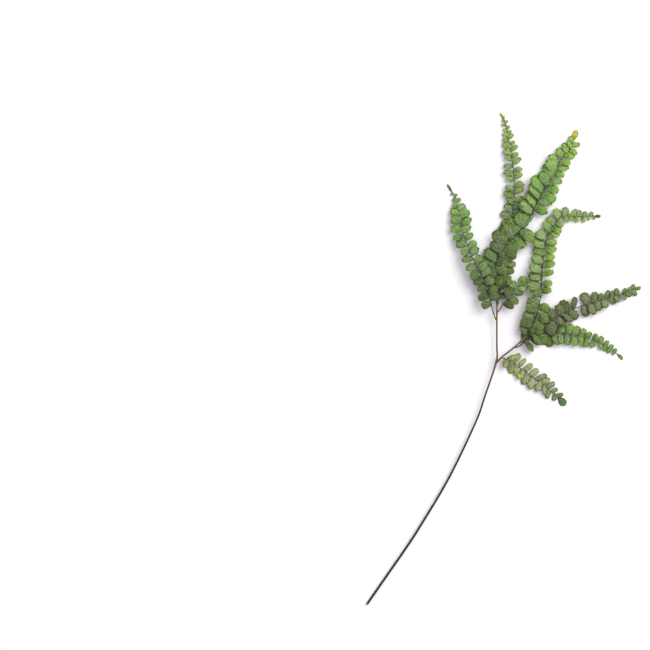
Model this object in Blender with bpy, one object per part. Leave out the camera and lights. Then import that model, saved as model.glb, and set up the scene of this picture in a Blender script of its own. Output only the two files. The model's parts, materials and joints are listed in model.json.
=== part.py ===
"""A cut frond of rough maidenhair fern, lying face up: a bare forked stalk and eight leafy pinnae.

The cut end of the stalk is towards -Y, the fan of pinnae towards +Y, and the frond lies on z = 0.
"""

import math
import random

import bmesh
import bpy
from mathutils import Vector

MM = 0.001
SEED = 41

# Stalk: a dark wire with a cut end, which carries on as the left arm of its fork
STALK_SIDES = 8
STALK_RADII = (0.92 * MM, 0.72 * MM)
ARM_RADII = (0.75 * MM, 0.65 * MM)
STALK_STEP = 13 * MM

# Rachis: the wiry midrib of a pinna
RACHIS_SIDES = 6
RACHIS_RADII = (0.55 * MM, 0.36 * MM)
RACHIS_STEP = 7 * MM

# Leaflet: a thin blade that widens from a short root to a rounded, lobed outer margin
BLADE_THICK = 0.6 * MM
ROOT_HALF_WIDTH = 0.27 * MM
BLADE_POINTS, SMALL_BLADE_POINTS = 9, 7
SMALL_BLADE = 6.5 * MM
LOWER_SHARE, UPPER_SHARE = 0.44, 0.60
LOBE_DEPTH = 0.02
# The blade's sides bulge by this power of a sine, and it is wider towards its outer end
BULGE, INNER_WIDTH, OUTER_GAIN = 0.85, 0.6, 0.5
# The lower margin of each leaflet stands above the upper margin of the one before it
SHINGLE = math.radians(12)
DIP = math.radians(2)
# Leaflets near the surface lie flatter, and stay this far clear of it
FLOAT = 0.06 * MM
# The first leaflets are a little small, and no leaflet grows this near the end of a midrib
FIRST_SIZE, FULL_FROM, SHRINK_POWER = 0.85, 0.12, 1.5
END_ROOM = 2.2 * MM
CURVE_STEPS = 12
SWING_LESS_AT_TIP = 16
SWING_JITTER = math.radians(7)
SIZE_JITTER = 0.09

# Routes in millimetres, as (x, y, height of the centre line)
STALK_ROUTE = [
    (-123.5, -221.0, 0.85), (-102.0, -190.0, 1.2), (-76.0, -150.5, 1.9), (-50.0, -107.5, 2.8),
    (-26.0, -57.5, 4.0), (-17.5, -33.5, 4.7), (-7.5, -3.0, 5.4), (-7.0, 12.0, 5.6), (-7.0, 48.0, 5.6),
]
ARM_ROUTE = [(-8.0, -4.5, 5.4), (-2.0, 1.5, 5.8), (5.0, 7.0, 6.0), (11.0, 12.0, 6.0), (19.0, 20.0, 6.0)]

# Pinnae: route, leaflet length and width, spacing on a side, where the leaflets start on the left and
# right side, how far those of each side swing from the midrib, how small the last ones are, from which
# share of the midrib they shrink, the end leaflet, whether that one lies flat on the surface, and the
# bare lengths of the midrib as (side, from, to)
LEFT, RIGHT = 1, -1
PINNAE = {
    "pinna_1_upper": dict(
        route=[
            (-7.0, 48.4, 5.6), (-8.5, 61.5, 5.8), (-9.0, 77.5, 6.1), (-5.0, 93.5, 6.3), (3.0, 105.5, 6.5),
            (13.5, 114.5, 6.6), (21.5, 124.0, 6.6), (28.5, 138.5, 6.0), (36.5, 159.0, 4.8),
            (50.0, 177.0, 3.2), (57.5, 187.0, 1.8), (61.5, 192.5, 0.9), (62.2, 197.0, 0.45),
        ],
        blade=(14.0, 9.4), spacing=7.6, start=(9.0, 6.0), swing=(58, 72), last=0.5, shrink=0.5,
        end_blade=(9.5, 5.6), lies=True, bare=[(RIGHT, 74.0, 92.0)],
    ),
    "pinna_2_slender": dict(
        route=[
            (-6.6, 46.0, 3.8), (-4.5, 60.0, 2.2), (-0.5, 86.5, 2.0), (2.5, 104.0, 2.2), (6.0, 123.5, 2.4),
            (8.8, 145.5, 2.8), (8.6, 164.0, 3.1), (6.6, 180.5, 2.9), (3.4, 198.0, 1.9), (1.2, 211.0, 0.9),
            (-0.4, 216.0, 0.5), (-2.2, 217.8, 0.45),
        ],
        blade=(10.6, 7.8), spacing=7.1, start=(16.0, 19.0), swing=(66, 74), last=0.22, shrink=0.45,
        end_blade=(4.6, 2.2), lies=True, bare=[],
    ),
    "pinna_3_round": dict(
        route=[
            (-8.8, 37.0, 6.1), (-11.5, 46.0, 7.9), (-13.5, 55.0, 9.2), (-15.5, 63.5, 9.6), (-22.0, 78.0, 9.2),
            (-27.0, 86.0, 8.4), (-33.7, 102.5, 6.6), (-37.9, 115.5, 5.0), (-40.6, 132.0, 3.2),
            (-44.8, 146.5, 1.3), (-47.8, 150.6, 0.45),
        ],
        blade=(10.6, 8.4), spacing=7.3, start=(12.0, 16.0), swing=(70, 72), last=0.2, shrink=0.74,
        end_blade=(7.8, 2.6), lies=True, bare=[],
    ),
    "pinna_4_bent": dict(
        route=[
            (19.4, 20.4, 6.1), (26.0, 32.5, 7.9), (30.0, 44.5, 8.2), (32.7, 60.0, 7.0), (33.6, 84.0, 5.2),
            (36.0, 99.5, 4.4), (40.2, 114.5, 3.8), (48.2, 125.5, 3.1), (57.0, 129.3, 2.4),
            (67.0, 127.5, 1.6), (77.0, 128.3, 0.9), (82.5, 128.0, 0.45),
        ],
        blade=(11.4, 8.2), spacing=7.5, start=(8.0, 12.0), swing=(68, 74), last=0.32, shrink=0.5,
        end_blade=(5.0, 3.2), lies=True, bare=[(RIGHT, 29.0, 39.0)],
    ),
    "pinna_5_dark": dict(
        route=[
            (16.8, 15.0, 5.0), (27.5, 23.5, 4.5), (40.0, 32.5, 4.5), (54.5, 41.0, 4.3), (66.5, 46.0, 4.0),
            (77.5, 50.0, 3.5), (91.5, 53.5, 2.8), (106.0, 58.0, 1.8), (116.5, 61.3, 0.8), (118.5, 62.3, 0.45),
        ],
        blade=(10.0, 7.2), spacing=6.4, start=(8.0, 11.0), swing=(70, 70), last=0.5, shrink=0.45,
        end_blade=(5.5, 3.6), lies=True, bare=[(LEFT, 55.0, 62.0), (RIGHT, 52.0, 62.0)],
    ),
    "pinna_6_drooping": dict(
        route=[
            (12.8, 10.8, 4.0), (23.0, 17.5, 1.8), (36.5, 21.2, 1.6), (51.0, 22.3, 1.9), (69.5, 19.2, 2.1),
            (86.0, 13.8, 1.6), (98.0, 7.2, 0.9), (102.5, 3.0, 0.45),
        ],
        blade=(9.6, 7.2), spacing=6.4, start=(13.0, 10.0), swing=(68, 68), last=0.4, shrink=0.4,
        end_blade=(6.5, 3.6), lies=True, bare=[],
    ),
    "pinna_7_pale": dict(
        route=[
            (-1.7, 0.2, 4.5), (4.2, -2.1, 3.0), (12.7, -7.7, 2.1), (25.5, -17.2, 2.1), (38.0, -26.5, 1.6),
            (46.4, -33.6, 0.9), (49.4, -36.6, 0.45),
        ],
        blade=(10.2, 6.4), spacing=6.3, start=(9.0, 6.0), swing=(62, 62), last=0.6, shrink=0.5,
        end_blade=(6.6, 5.6), lies=True, bare=[],
    ),
    "pinna_8_short": dict(
        route=[(-5.2, 43.0, 6.2), (-0.5, 50.0, 8.4), (6.2, 57.0, 9.5), (11.8, 63.5, 9.3), (13.6, 66.5, 9.1)],
        blade=(10.4, 7.8), spacing=6.2, start=(13.0, 7.0), swing=(66, 66), last=0.8, shrink=0.6,
        end_blade=(9.4, 9.0), lies=False, bare=[],
    ),
}


def smooth_route(points, step):
    """Even steps along a smooth curve through the points, given in millimetres."""
    knots = [Vector(p) * MM for p in points]
    knots = [2 * knots[0] - knots[1], *knots, 2 * knots[-1] - knots[-2]]
    fine = [knots[1]]
    for a, b, c, d in zip(knots, knots[1:], knots[2:], knots[3:]):
        for k in range(1, CURVE_STEPS + 1):
            t = k / CURVE_STEPS
            fine.append(0.5 * (2 * b + (c - a) * t + (2 * a - 5 * b + 4 * c - d) * t**2 + (3 * (b - c) + d - a) * t**3))
    run = distances(fine)
    count = max(2, round(run[-1] / step))
    return [point_at(fine, run, run[-1] * k / count) for k in range(count + 1)]


def distances(points):
    run = [0.0]
    for a, b in zip(points, points[1:]):
        run.append(run[-1] + (b - a).length)
    return run


def point_at(fine, run, distance):
    """The point this far along a fine polyline."""
    k = 1
    while k < len(run) - 1 and run[k] < distance:
        k += 1
    share = (distance - run[k - 1]) / (run[k] - run[k - 1])
    return fine[k - 1].lerp(fine[k], share)


def mesh_object(name, bm, collection=None):
    bmesh.ops.recalc_face_normals(bm, faces=bm.faces)
    mesh = bpy.data.meshes.new(name)
    bm.to_mesh(mesh)
    bm.free()
    obj = bpy.data.objects.new(name, mesh)
    (collection or bpy.context.scene.collection).objects.link(obj)
    return obj


def tube(name, route, radii, sides, step, collection=None):
    """A closed tapering tube with flat ends, a flat of each section facing straight down."""
    spots = smooth_route(route, step)
    bm = bmesh.new()
    rings = []
    for k, spot in enumerate(spots):
        along = (spots[min(k + 1, len(spots) - 1)] - spots[max(k - 1, 0)]).normalized()
        side = along.cross(Vector((0, 0, 1))).normalized()
        up = side.cross(along)
        radius = radii[0] + (radii[1] - radii[0]) * k / (len(spots) - 1)
        ring = []
        for n in range(sides):
            turn = 2 * math.pi * (n + 0.5) / sides - math.pi / 2
            ring.append(bm.verts.new(spot + radius * (math.cos(turn) * side + math.sin(turn) * up)))
        rings.append(ring)
    for a, b in zip(rings, rings[1:]):
        for n in range(sides):
            bm.faces.new((a[n], a[(n + 1) % sides], b[(n + 1) % sides], b[n]))
    bm.faces.new(rings[0])
    bm.faces.new(rings[-1])
    return mesh_object(name, bm, collection)


def blade(name, root, along, upper, length, width, shares, collection):
    """A leaflet: a flat lobed blade from its root, with along and upper as the directions in its plane."""
    outline = [(0.0, ROOT_HALF_WIDTH), (0.0, -ROOT_HALF_WIDTH)]
    count = BLADE_POINTS if length > SMALL_BLADE else SMALL_BLADE_POINTS
    for k in range(1, count + 1):
        turn = 2 * math.pi * k / (count + 1)
        reach = 1 + LOBE_DEPTH * (1 if (k - (count + 1) // 2) % 2 else -1)
        u = (1 - math.cos(turn)) / 2
        share = -shares[0] if turn < math.pi else shares[1]
        half_width = width * abs(math.sin(turn)) ** BULGE * (INNER_WIDTH + OUTER_GAIN * u)
        outline.append((length * u * reach, share * half_width * reach))
    normal = along.cross(upper).normalized()
    bm = bmesh.new()
    faces = []
    for lift in (0.5 * BLADE_THICK, -0.5 * BLADE_THICK):
        ring = [bm.verts.new(root + u * along + v * upper + lift * normal) for u, v in outline]
        faces.append(ring)
        bm.faces.new(ring)
    for k in range(len(outline)):
        n = (k + 1) % len(outline)
        bm.faces.new((faces[0][k], faces[0][n], faces[1][n], faces[1][k]))
    return mesh_object(name, bm, collection)


def fuse(body, collection):
    """Joins the collection's objects to the body and removes them."""
    union = body.modifiers.new("Union", "BOOLEAN")
    union.operation = "UNION"
    union.operand_type = "COLLECTION"
    union.collection = collection
    union.solver = "MANIFOLD"
    graph = bpy.context.evaluated_depsgraph_get()
    mesh = bpy.data.meshes.new_from_object(body.evaluated_get(graph))
    body.modifiers.remove(union)
    body.data = mesh
    mesh.name = body.name
    for obj in list(collection.objects):
        bpy.data.objects.remove(obj)
    bpy.data.collections.remove(collection)


def new_collection(name):
    collection = bpy.data.collections.new(name)
    bpy.context.scene.collection.children.link(collection)
    return collection


def size_at(share, last, shrink):
    """How large a leaflet is at this share of the midrib: full from near the base, smaller to the tip."""
    swell = FIRST_SIZE + (1 - FIRST_SIZE) * min(1, share / FULL_FROM)
    fall = max(0, (share - shrink) / (1 - shrink))
    return swell * (1 - (1 - last) * fall**SHRINK_POWER)


def pinna(name, shape, rng):
    """A midrib with alternate leaflets on its two sides and one at its end, as one body."""
    body = tube(name, shape["route"], RACHIS_RADII, RACHIS_SIDES, RACHIS_STEP)
    leaflets = new_collection(name + " leaflets")
    midrib = smooth_route(shape["route"], RACHIS_STEP)
    run = distances(midrib)
    full = run[-1]
    for side, start, side_swing in zip((LEFT, RIGHT), shape["start"], shape["swing"]):
        place = start * MM
        while place < full - END_ROOM:
            share = place / full
            plain_size = size_at(share, shape["last"], shape["shrink"])
            size = plain_size * (1 + rng.uniform(-SIZE_JITTER, SIZE_JITTER))
            swing = math.radians(side_swing - SWING_LESS_AT_TIP * share**2) + rng.uniform(-SWING_JITTER, SWING_JITTER)
            dip = rng.uniform(-DIP, DIP)
            lean = SHINGLE * rng.uniform(0.85, 1.15)
            length, width = (edge * MM * size for edge in shape["blade"])
            root = point_at(midrib, run, place)
            room = max(root.z - 0.5 * BLADE_THICK - FLOAT, 0)
            lean = min(lean, math.asin(min(1, room / (UPPER_SHARE * width))))
            behind, before = max(0, place - RACHIS_STEP / 2), min(full, place + RACHIS_STEP / 2)
            ahead = (point_at(midrib, run, before) - point_at(midrib, run, behind)).normalized()
            out = side * Vector((0, 0, 1)).cross(ahead).normalized()
            up = side * ahead.cross(out)
            level_along = math.cos(swing) * ahead + math.sin(swing) * out
            level_upper = math.sin(swing) * ahead - math.cos(swing) * out
            upper = math.cos(lean) * level_upper - math.sin(lean) * up
            lowest = level_along.z * length + min(0, upper.z) * UPPER_SHARE * width
            dip = max(dip, -(room + lowest) / length)
            along = math.cos(dip) * level_along + math.sin(dip) * up
            if not any(side == where and start < place / MM < end for where, start, end in shape["bare"]):
                blade(name, root, along, upper, length, width, (LOWER_SHARE, UPPER_SHARE), leaflets)
            place += shape["spacing"] * MM * (0.5 + 0.5 * plain_size)
    last = midrib[-1]
    along = (last - midrib[-2]).normalized()
    if shape["lies"]:
        along = Vector((along.x, along.y, 0)).normalized()
        last = Vector((last.x, last.y, 0.5 * BLADE_THICK))
    upper = Vector((0, 0, 1)).cross(along).normalized()
    length, width = (edge * MM for edge in shape["end_blade"])
    blade(name, last - MM * along, along, upper, length + MM, width, (0.5, 0.5), leaflets)
    fuse(body, leaflets)
    return body


def material(name, color, roughness):
    made = bpy.data.materials.new(name)
    made.use_nodes = True
    shader = made.node_tree.nodes["Principled BSDF"]
    shader.inputs["Base Color"].default_value = (*color, 1)
    shader.inputs["Roughness"].default_value = roughness
    return made


for old in list(bpy.data.objects):
    bpy.data.objects.remove(old)

# Stalk with the two arms of its fork
stalk = tube("stipe", STALK_ROUTE, STALK_RADII, STALK_SIDES, STALK_STEP)
arms = new_collection("arms")
tube("right arm", ARM_ROUTE, ARM_RADII, STALK_SIDES, STALK_STEP / 2, arms)
fuse(stalk, arms)
stalk.data.materials.clear()
stalk.data.materials.append(material("dark stalk", (0.06, 0.04, 0.03), 0.45))

# Pinnae, each a midrib with its leaflets
GREENS = {
    "pinna_1_upper": (0.13, 0.25, 0.06),
    "pinna_2_slender": (0.14, 0.22, 0.10),
    "pinna_3_round": (0.14, 0.28, 0.09),
    "pinna_4_bent": (0.12, 0.25, 0.07),
    "pinna_5_dark": (0.08, 0.13, 0.05),
    "pinna_6_drooping": (0.10, 0.18, 0.06),
    "pinna_7_pale": (0.18, 0.25, 0.11),
    "pinna_8_short": (0.13, 0.24, 0.08),
}
for number, (pinna_name, pinna_shape) in enumerate(PINNAE.items()):
    leafy = pinna(pinna_name, pinna_shape, random.Random(SEED + number))
    leafy.data.materials.clear()
    leafy.data.materials.append(material("green of " + pinna_name, GREENS[pinna_name], 0.6))
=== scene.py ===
"""A cut frond of rough maidenhair fern, dried flat and face up on a white surface."""

import json
import math
import random

import bmesh
import bpy
from mathutils import Matrix, Vector

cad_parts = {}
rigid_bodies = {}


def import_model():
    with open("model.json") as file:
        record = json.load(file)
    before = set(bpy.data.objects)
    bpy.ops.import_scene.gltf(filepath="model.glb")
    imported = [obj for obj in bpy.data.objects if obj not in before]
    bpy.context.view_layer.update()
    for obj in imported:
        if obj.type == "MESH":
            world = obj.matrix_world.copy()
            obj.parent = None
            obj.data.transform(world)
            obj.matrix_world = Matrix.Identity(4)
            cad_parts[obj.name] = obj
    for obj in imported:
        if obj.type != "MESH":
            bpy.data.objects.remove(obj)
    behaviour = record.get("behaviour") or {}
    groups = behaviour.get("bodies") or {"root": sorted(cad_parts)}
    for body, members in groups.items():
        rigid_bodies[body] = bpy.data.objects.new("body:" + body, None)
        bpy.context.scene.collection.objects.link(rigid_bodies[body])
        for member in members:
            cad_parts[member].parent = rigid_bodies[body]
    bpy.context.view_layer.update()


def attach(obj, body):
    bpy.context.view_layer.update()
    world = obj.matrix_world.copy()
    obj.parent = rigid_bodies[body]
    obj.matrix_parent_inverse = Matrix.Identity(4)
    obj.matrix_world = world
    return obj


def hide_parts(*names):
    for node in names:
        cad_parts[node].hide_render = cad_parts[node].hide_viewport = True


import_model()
MM = 0.001


# The white surface that the frond lies on, the soft light and the view straight down.
# A broad lamp stands low at the upper right, so each leaflet's shadow falls to its lower left, and a
# pale surround fills the shadows. The long lens keeps the whole frond as flat as it looks from above.
PHOTO_PIXELS, PIXEL_WIDTH = 650, 0.9 * MM
VIEW_MIDDLE = Vector((-161.5 * MM, 30.0 * MM, 0.0))
CAMERA_HEIGHT, SENSOR = 6.0, 36.0
SURFACE_SIDE, SURFACE_DROP = 9.0, 0.12 * MM
LAMP_PLACE, LAMP_SIDE, LAMP_POWER, LAMP_COLOR = Vector((2.4, 2.1, 2.8)), 3.4, 185.0, (1.0, 0.99, 0.91)
SURROUND_COLOR, SURROUND_STRENGTH = (0.93, 0.895, 1.0), 0.69


def linear(red, green, blue):
    """A colour as the eye reads it, 0 to 255, turned into the amounts of light that it reflects."""
    return tuple((c / 255 / 12.92) if c < 10.3 else ((c / 255 + 0.055) / 1.055) ** 2.4 for c in (red, green, blue))


class Number:
    """A number that varies over a surface. Signs of arithmetic on it add their nodes to the finish."""

    def __init__(self, finish, socket):
        self.finish, self.socket = finish, socket

    def math(self, operation, *values):
        return self.finish.node("ShaderNodeMath", {"operation": operation}, dict(enumerate(values)))

    def __add__(self, other):
        return self.math("ADD", self, other)

    def __sub__(self, other):
        return self.math("SUBTRACT", self, other)

    def __rsub__(self, other):
        return self.math("SUBTRACT", other, self)

    def __mul__(self, other):
        return self.math("MULTIPLY", self, other)

    def __pow__(self, other):
        return self.math("POWER", self, other)

    __radd__, __rmul__ = __add__, __mul__

    def rise(self, low, high):
        """0 below low, 1 above high, and smooth between."""
        settings = {"interpolation_type": "SMOOTHSTEP"}
        return self.finish.node("ShaderNodeMapRange", settings, {0: self, 1: low, 2: high})


class Finish:
    """A material, made by adding nodes to its shader."""

    def __init__(self, name, **constants):
        self.material = bpy.data.materials.new(name)
        self.material.use_nodes = True
        self.tree = self.material.node_tree
        self.shader = self.tree.nodes["Principled BSDF"]
        for socket, value in constants.items():
            self.shader.inputs[socket.replace("_", " ")].default_value = value

    def node(self, kind, settings=None, values=None, output=0):
        made = self.tree.nodes.new(kind)
        for name, value in (settings or {}).items():
            if name == "stops":
                stops = made.color_ramp.elements
                while len(stops) < len(value):
                    stops.new(1.0)
                for stop, (place, color) in zip(stops, value):
                    stop.position, stop.color = place, (*color, 1)
            else:
                setattr(made, name, value)
        for name, value in (values or {}).items():
            self.feed(made.inputs[name], value)
        return Number(self, made.outputs[output])

    def feed(self, socket, value):
        if isinstance(value, Number):
            self.tree.links.new(value.socket, socket)
        elif isinstance(value, tuple) and len(value) == 3 and socket.type == "RGBA":
            socket.default_value = (*value, 1)
        else:
            socket.default_value = value

    def attribute(self, name, output="Fac"):
        return self.node("ShaderNodeAttribute", {"attribute_name": name}, output=output)

    def parts(self, name):
        """The three numbers of an attribute that holds three."""
        split = self.node("ShaderNodeSeparateXYZ", None, {0: self.attribute(name, "Vector")}).socket.node
        return [Number(self, split.outputs[n]) for n in range(3)]

    def noise(self, scale, detail=2.0, roughness=0.5):
        spot = self.node("ShaderNodeTexCoord", output="Object")
        values = {"Vector": spot, "Scale": scale, "Detail": detail, "Roughness": roughness}
        return self.node("ShaderNodeTexNoise", None, values)

    def mix(self, share, one, other, blend="MIX"):
        """One colour where the share is 0, the other where it is 1."""
        settings = {"data_type": "RGBA", "blend_type": blend, "clamp_factor": True}
        return self.node("ShaderNodeMix", settings, {0: share, 6: one, 7: other}, 2)

    def ramp(self, share, stops):
        return self.node("ShaderNodeValToRGB", {"stops": stops}, {0: share})

    def done(self, color, roughness, height, strength, depth):
        """Feeds the shader its colour, its roughness and a relief of this depth in metres."""
        self.feed(self.shader.inputs["Base Color"], color)
        self.feed(self.shader.inputs["Roughness"], roughness)
        bump = self.node("ShaderNodeBump", None, {"Strength": strength, "Distance": depth, "Height": height})
        self.feed(self.shader.inputs["Normal"], bump)
        return self.material


camera = bpy.data.objects.new("camera", bpy.data.cameras.new("camera"))
camera.location = VIEW_MIDDLE + Vector((0, 0, CAMERA_HEIGHT))
camera.data.sensor_width = SENSOR
camera.data.lens = SENSOR * CAMERA_HEIGHT / (PHOTO_PIXELS * PIXEL_WIDTH)
camera.data.clip_start, camera.data.clip_end = 0.1, 100.0
bpy.context.scene.collection.objects.link(camera)
bpy.context.scene.camera = camera
bpy.context.scene.view_settings.view_transform = "Standard"
bpy.context.scene.view_settings.look = "None"

lamp = bpy.data.objects.new("lamp", bpy.data.lights.new("lamp", "AREA"))
lamp.data.size, lamp.data.energy, lamp.data.color = LAMP_SIDE, LAMP_POWER, LAMP_COLOR
lamp.location = LAMP_PLACE
lamp.rotation_euler = (-LAMP_PLACE).to_track_quat("-Z", "Y").to_euler()
bpy.context.scene.collection.objects.link(lamp)

surround = bpy.data.worlds.new("surround")
surround.use_nodes = True
surround.node_tree.nodes["Background"].inputs["Color"].default_value = (*SURROUND_COLOR, 1)
surround.node_tree.nodes["Background"].inputs["Strength"].default_value = SURROUND_STRENGTH
bpy.context.scene.world = surround

sheet = bmesh.new()
bmesh.ops.create_grid(sheet, x_segments=2, y_segments=2, size=SURFACE_SIDE / 2)
bmesh.ops.translate(sheet, verts=sheet.verts, vec=(0, 0, -SURFACE_DROP))
surface = bpy.data.objects.new("white_surface", bpy.data.meshes.new("white_surface"))
sheet.to_mesh(surface.data)
sheet.free()
white = Finish("white surface", Specular_IOR_Level=0.1)
grain = white.noise(90.0, 3.0)
surface.data.materials.append(
    white.done(white.mix(grain, (0.93, 0.93, 0.93), (0.95, 0.95, 0.95)), 0.8 + 0.1 * grain, grain, 0.05, 0.05 * MM)
)
bpy.context.scene.collection.objects.link(surface)


# The stalk, a dark wire with a cut end, and the two arms that it forks into.
# It is near black and a little glossy at the cut end, turns brown towards the fork and pinkish tan
# on the left arm. It is grown in one piece, with a soft swelling where the right arm leaves it.
STALK_ROUTE = [
    (-123.5, -221.0, 1.0), (-102.0, -190.0, 1.3), (-89.8, -172.5, 1.6), (-75.5, -150.5, 1.9),
    (-50.0, -107.5, 2.8), (-26.0, -57.5, 4.0), (-17.5, -33.5, 4.7), (-7.5, -3.0, 5.4), (-7.0, 12.0, 5.6),
    (-7.0, 48.0, 5.6),
]
ARM_ROUTE = [(-8.0, -4.5, 5.4), (-2.0, 1.5, 5.8), (5.0, 7.0, 6.0), (11.0, 12.0, 6.0), (19.0, 20.0, 6.0)]
STALK_RADII, ARM_RADII = (1.02 * MM, 0.8 * MM), (0.82 * MM, 0.7 * MM)
FORK_SWELL, FORK_LENGTH = 0.22, 4.0 * MM
STALK_STEP, CURVE_STEPS, WIRE_SIDES = 2.5 * MM, 12, 12
# The cut end: its bevel, how wide its pith and rind are, and how far each bulges past the cut
END_BEVEL, PITH_SHARE, RIND_SHARE = 0.12 * MM, 0.55, 0.8
PITH_BULGE, RIND_BULGE, RIND_PALENESS = 0.2 * END_BEVEL, 0.25 * END_BEVEL, 0.2
# The hairs: how many on a square metre of bark, how far they lean in radians, and their least and most size
STALK_HAIRS, HAIR_LENGTH, HAIR_RADIUS, HAIR_SEED = 45000.0, 0.55 * MM, 0.028 * MM, 5
HAIR_LEAN, HAIR_SIZES = 0.7, (0.5, 1.0)
STALK_COLORS = [
    (0.0, linear(22, 18, 18)), (0.45, linear(28, 24, 21)), (0.62, linear(50, 43, 34)), (0.74, linear(74, 62, 48)),
    (0.84, linear(104, 86, 66)), (1.0, linear(118, 96, 74)),
]
# The part of those colours that the right arm has
ARM_RUN = (0.78, 0.86)
PITH, HAIR_BROWN, RIDGE_TAN = linear(190, 165, 125), linear(72, 44, 30), linear(150, 128, 108)
BLOTCH_SHADE = (0.45, 0.38, 0.34)
BLOTCH_GRAIN, RIDGE_GRAIN, BARK_RELIEF = (160.0, 3.0), (1500.0, 2.0), 0.08 * MM


def distances(points):
    """How far along a line of points each of them is."""
    run = [0.0]
    for a, b in zip(points, points[1:]):
        run.append(run[-1] + (b - a).length)
    return run


def point_at(line, run, distance):
    """The point this far along a line of points."""
    k = 1
    while k < len(run) - 1 and run[k] < distance:
        k += 1
    share = (distance - run[k - 1]) / (run[k] - run[k - 1])
    return line[k - 1].lerp(line[k], share)


def smooth_route(points, step):
    """Even steps along a smooth curve through the points, given in millimetres."""
    knots = [Vector(p) * MM for p in points]
    knots = [2 * knots[0] - knots[1], *knots, 2 * knots[-1] - knots[-2]]
    fine = [knots[1]]
    for a, b, c, d in zip(knots, knots[1:], knots[2:], knots[3:]):
        for k in range(1, CURVE_STEPS + 1):
            t = k / CURVE_STEPS
            bend, swerve = 2 * a - 5 * b + 4 * c - d, 3 * (b - c) + d - a
            fine.append(0.5 * (2 * b + (c - a) * t + bend * t**2 + swerve * t**3))
    run = distances(fine)
    count = max(2, round(run[-1] / step))
    return [point_at(fine, run, run[-1] * k / count) for k in range(count + 1)]


def tree_with_inputs(name, inputs):
    """An empty tree of geometry nodes with these named inputs, and its two end nodes."""
    tree = bpy.data.node_groups.new(name, "GeometryNodeTree")
    tree.interface.new_socket("Geometry", in_out="INPUT", socket_type="NodeSocketGeometry")
    tree.interface.new_socket("Geometry", in_out="OUTPUT", socket_type="NodeSocketGeometry")
    for label, kind in inputs:
        tree.interface.new_socket(label, in_out="INPUT", socket_type="NodeSocket" + kind)
    return tree, tree.nodes.new("NodeGroupInput"), tree.nodes.new("NodeGroupOutput")


def add(tree, kind, settings=None, **values):
    """A node with its settings made first, and its sockets set or linked by name, as Instance_Index=..."""
    node = tree.nodes.new(kind)
    for name, value in (settings or {}).items():
        setattr(node, name, value)
    for name, value in values.items():
        socket = node.inputs[name.replace("_", " ")]
        if isinstance(value, bpy.types.NodeSocket):
            tree.links.new(value, socket)
        else:
            socket.default_value = value
    return node


def named(tree, name, kind="FLOAT"):
    """What an attribute of the points holds."""
    return add(tree, "GeometryNodeInputNamedAttribute", {"data_type": kind}, Name=name).outputs["Attribute"]


def wire_tree():
    """Turns lines of points into tapering hairy wires: each point's thick is the wire's radius there."""
    tree, given, result = tree_with_inputs(
        "hairy wire",
        [("Sides", "Int"), ("Hairs", "Float"), ("Hair length", "Float"), ("Hair radius", "Float"), ("Seed", "Int"),
         ("Finish", "Material")],
    )
    line = add(tree, "GeometryNodeMeshToCurve", Mesh=given.outputs["Geometry"])
    ring = add(tree, "GeometryNodeCurvePrimitiveCircle", Resolution=given.outputs["Sides"], Radius=1.0)
    wire = add(
        tree, "GeometryNodeCurveToMesh", Curve=line.outputs[0], Profile_Curve=ring.outputs[0],
        Scale=named(tree, "thick"), Fill_Caps=True,
    )
    smooth = add(tree, "GeometryNodeSetShadeSmooth", Geometry=wire.outputs[0])
    marked = add(
        tree, "GeometryNodeStoreNamedAttribute", {"domain": "POINT"}, Geometry=smooth.outputs[0], Name="hair",
        Value=0.0,
    )
    roots = add(
        tree, "GeometryNodeDistributePointsOnFaces", Mesh=marked.outputs[0], Density=given.outputs["Hairs"],
        Seed=given.outputs["Seed"],
    )
    hair = add(
        tree, "GeometryNodeMeshCone", {"fill_type": "NGON"}, Vertices=3, Radius_Top=0.0,
        Radius_Bottom=given.outputs["Hair radius"], Depth=given.outputs["Hair length"],
    )
    colored = add(
        tree, "GeometryNodeStoreNamedAttribute", {"domain": "POINT"}, Geometry=hair.outputs[0], Name="hair",
        Value=1.0,
    )
    lean = add(tree, "FunctionNodeRandomValue", {"data_type": "FLOAT_VECTOR"}, Seed=given.outputs["Seed"])
    lean.inputs[0].default_value = (-HAIR_LEAN, -HAIR_LEAN, 0.0)
    lean.inputs[1].default_value = (HAIR_LEAN, HAIR_LEAN, 0.0)
    leaning = add(tree, "FunctionNodeEulerToRotation", Euler=lean.outputs[0])
    turn = add(
        tree, "FunctionNodeRotateRotation", {"rotation_space": "LOCAL"}, Rotation=roots.outputs["Rotation"],
        Rotate_By=leaning.outputs[0],
    )
    size = add(tree, "FunctionNodeRandomValue", {"data_type": "FLOAT"}, Seed=given.outputs["Seed"])
    size.inputs[2].default_value, size.inputs[3].default_value = HAIR_SIZES
    hairs = add(
        tree, "GeometryNodeInstanceOnPoints", Points=roots.outputs["Points"], Instance=colored.outputs[0],
        Rotation=turn.outputs[0], Scale=size.outputs[1],
    )
    joined = tree.nodes.new("GeometryNodeJoinGeometry")
    tree.links.new(marked.outputs[0], joined.inputs[0])
    tree.links.new(hairs.outputs[0], joined.inputs[0])
    real = add(tree, "GeometryNodeRealizeInstances", Geometry=joined.outputs[0])
    finished = add(tree, "GeometryNodeSetMaterial", Geometry=real.outputs[0], Material=given.outputs["Finish"])
    tree.links.new(finished.outputs[0], result.inputs[0])
    return tree


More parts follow.
